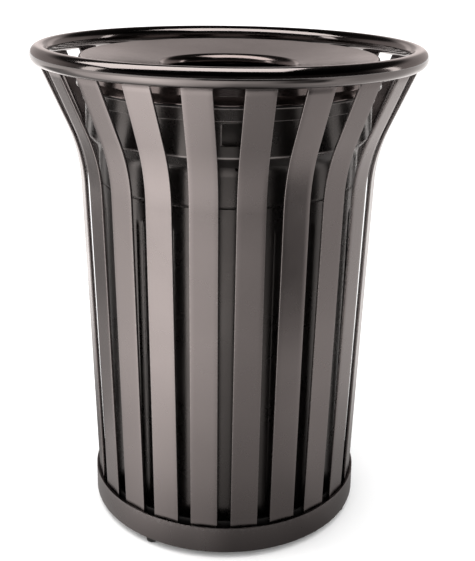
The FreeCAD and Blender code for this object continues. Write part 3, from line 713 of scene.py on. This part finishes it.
def liner_hollows(a, z):
    """The depth cut at a direction and a height: flute + groove + grip + hole.

    Each is its depth times windows in direction and height. The hole's window is round.
    """
    flute_way = wrapped((a - grip_middle) * flute_total) / flute_total
    flute = flute_depth * window(flute_way, -flute_half, flute_half, 1.0 * MM / foot_radius) \
        * window(z, *flute_span, flute_fade)
    groove = groove_depth * window(z, groove_height - groove_half, groove_height + groove_half,
                                   1 * MM)
    grip = grip_depth * np.clip((grip_half - from_grip(a)) / grip_slope, 0, 1) \
        * window(z, grip_low_z, grip_high_z, grip_blend)
    off = np.hypot(wrapped(a - pull_middle) * neck_radius, z - pull_height)
    hole = pull_depth * (1 - soft_step(off, pull_radius, 0.8 * MM))
    return flute + groove + grip + hole


def bell(distance, width):
    """1 at no distance, falling to nothing on both sides: exp(-(distance / width)^2)."""
    return np.exp(-(distance / width) ** 2)


def liner_highlights_and_rubs(a, r, z):
    """How much the plastic is lightened, from 0 to 1: the strongest of the marks at each point.

    Bell curves paint highlights along the rim, the step under it, the shoulder and the grips' inner
    corners, and the grips' side walls are lightened evenly, partly as rubbing and partly as painted
    light.
    """
    on_rim = r > rim_radius - 2 * MM
    grip_rows = window(z, grip_low_z, grip_high_z, grip_blend)
    from_corner = (grip_half - grip_slope - from_grip(a)) * shoulder_radius
    side_wall = window(from_grip(a), grip_half - grip_slope, grip_half, 1 * MM / shoulder_radius)
    return np.maximum.reduce(np.broadcast_arrays(
        on_rim * bell(z - rim_top + 0.8 * MM, 0.9 * MM),
        on_rim * bell(z - step_height, 0.8 * MM) * 0.5,
        bell(z - shoulder_height - 1.5 * MM, 1.3 * MM) * 0.5,
        grip_rows * bell(from_corner, 1.0 * MM) * 0.8,
        grip_rows * side_wall * 0.35))


def liner_points():
    """The liner's skin: the side outline turned about Z, less the hollows in its outside.

    x = r sin a, y = -r cos a. Also returns how much each point is lightened by painted highlights
    and rubs, which is 0 inside and below.
    """
    path, outside_count = liner_outline()
    a = liner_angles()[:, None]
    r, z = path[None, :, 0], path[None, :, 1]
    on_outside = (np.arange(len(path)) < outside_count)[None, :]
    skin = on_outside * (r > foot_radius - 1 * MM)
    highlight_values = skin * liner_highlights_and_rubs(a, r, z)
    r = r - skin * liner_hollows(a, z)
    return np.stack([r * np.sin(a), -r * np.cos(a), z + 0 * a], -1), highlight_values


def make_plastic(name, color, roughness, grain, specular):
    """Moulded plastic: a fine pebble grain, slow gloss changes, pale scuffs, and a pale edge mark of
    painted highlights and some rubbing.
    """
    material, add = new_material(name)
    where = add("TexCoord").outputs["Object"]
    pebble = add("TexVoronoi", {"Vector": where, "Scale": 700.0}, feature="SMOOTH_F1")
    swell = add("TexNoise", {"Vector": where, "Scale": 14.0, "Detail": 3.0})
    height = add("Math", {0: pebble.outputs["Distance"], 1: swell.outputs["Fac"]}, operation="ADD")
    bump = add("Bump", {"Height": height.outputs[0], "Strength": grain, "Distance": 0.6 * MM})
    cloud = add("TexNoise", {"Vector": where, "Scale": 6.0, "Detail": 6.0, "Roughness": 0.65})
    rough = add("MapRange", {"Value": cloud.outputs["Fac"], "From Min": 0.3, "From Max": 0.7,
                             "To Min": roughness - 0.05, "To Max": roughness + 0.07})
    stretched = add("Mapping", {"Vector": where, "Scale": (1.0, 1.0, 0.12)})
    scuff = add("TexNoise", {"Vector": stretched.outputs[0], "Scale": 160.0, "Detail": 4.0})
    pale = add("MapRange", {"Value": scuff.outputs["Fac"], "From Min": 0.66, "From Max": 0.80,
                            "To Min": 0.0, "To Max": 0.06})
    # The edge mark paints highlights on the rim, step, shoulder and grip corners, and on the grip
    # walls it is partly rubbing, partly painted light.
    edge = add("Attribute", attribute_name="edge")
    scuff_and_highlight = add("Math", {0: edge.outputs["Fac"], 1: pale.outputs[0]}, operation="MAXIMUM")
    mix = add("Mix", {"Factor": scuff_and_highlight.outputs[0]}, data_type="RGBA")
    mix.inputs[6].default_value = (*color, 1)
    mix.inputs[7].default_value = (0.34, 0.305, 0.295, 1)
    shade = add("BsdfPrincipled", {"Base Color": mix.outputs[2], "Roughness": rough.outputs[0],
                                   "Normal": bump.outputs["Normal"], "Specular IOR Level": specular,
                                   "Specular Tint": (1.0, 0.93, 0.90, 1)})
    add("OutputMaterial", {"Surface": shade.outputs["BSDF"]})
    return material


liner_plastic = make_plastic("liner_plastic", (0.0025, 0.0020, 0.0019), 0.27, 0.10, 0.90)
# The lightening marks: painted highlight lines on the rim, step, shoulder and grip corners, and a
# lighter tone on the grip walls.
liner_skin, liner_highlight_marks = liner_points()
liner_mesh = grid_mesh("liner_shell", liner_skin, around_u=True)
mark_edges(liner_mesh, "edge", liner_highlight_marks)
place_piece("liner_moulding", liner_mesh, liner_plastic, "liner", ["liner_shell"])

# --- Lid --------------------------------------------------------------------------------------
# Spun from 1.5 mm steel sheet: a dished top that falls to a rolled hole, a skirt, and a flared
# hem. An angle ring inside the skirt seats it on the liner's rim and has the pan's darker coat.
lid_coat = make_coat("lid_coat", (0.150, 0.128, 0.123), 0.17, metallic=1.0, peel=0.05)
lid_low, lid_high = (np.array(corner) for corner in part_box("lid_shell"))
lid_sheet = 1.5 * MM
lid_height = 872.5 * MM
lid_radius = 271.0 * MM
hem_radius = lid_high[0]
hole_radius = 119.0 * MM
hem_low, hem_top, skirt_low = lid_low[2], lid_low[2] + 2.0 * MM, lid_low[2] + 14.0 * MM
dish_low = lid_height - 17.0 * MM
lip_low = dish_low - 17.0 * MM
lid_round, hole_round = 5.0 * MM, 14.0 * MM
lid_turns = 256
lid_outside = round_path([
    (hem_radius, hem_low), (hem_radius, hem_top, 2 * MM), (lid_radius, skirt_low, 6 * MM),
    (lid_radius, lid_height, lid_round), (hole_radius, dish_low, hole_round),
    (hole_radius, lip_low)], 10)
lid_inside = round_path([
    (hole_radius + lid_sheet, lip_low),
    (hole_radius + lid_sheet, dish_low - lid_sheet, hole_round - lid_sheet),
    (lid_radius - lid_sheet, lid_height - lid_sheet, lid_round - lid_sheet),
    (lid_radius - lid_sheet, skirt_low, 6 * MM),
    (hem_radius - lid_sheet, hem_top, 2 * MM), (hem_radius - lid_sheet, hem_low)], 10)
lid_profile = np.concatenate([lid_outside, lid_inside])
lid_mesh = grid_mesh("lid", turned_points(lid_profile, full_turn(lid_turns)),
                     around_u=True, around_v=True)
place_piece("lid_spun", lid_mesh, lid_coat, "lid", ["lid_shell"])
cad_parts["lid_seat_ring"].data.materials[0] = pan_coat
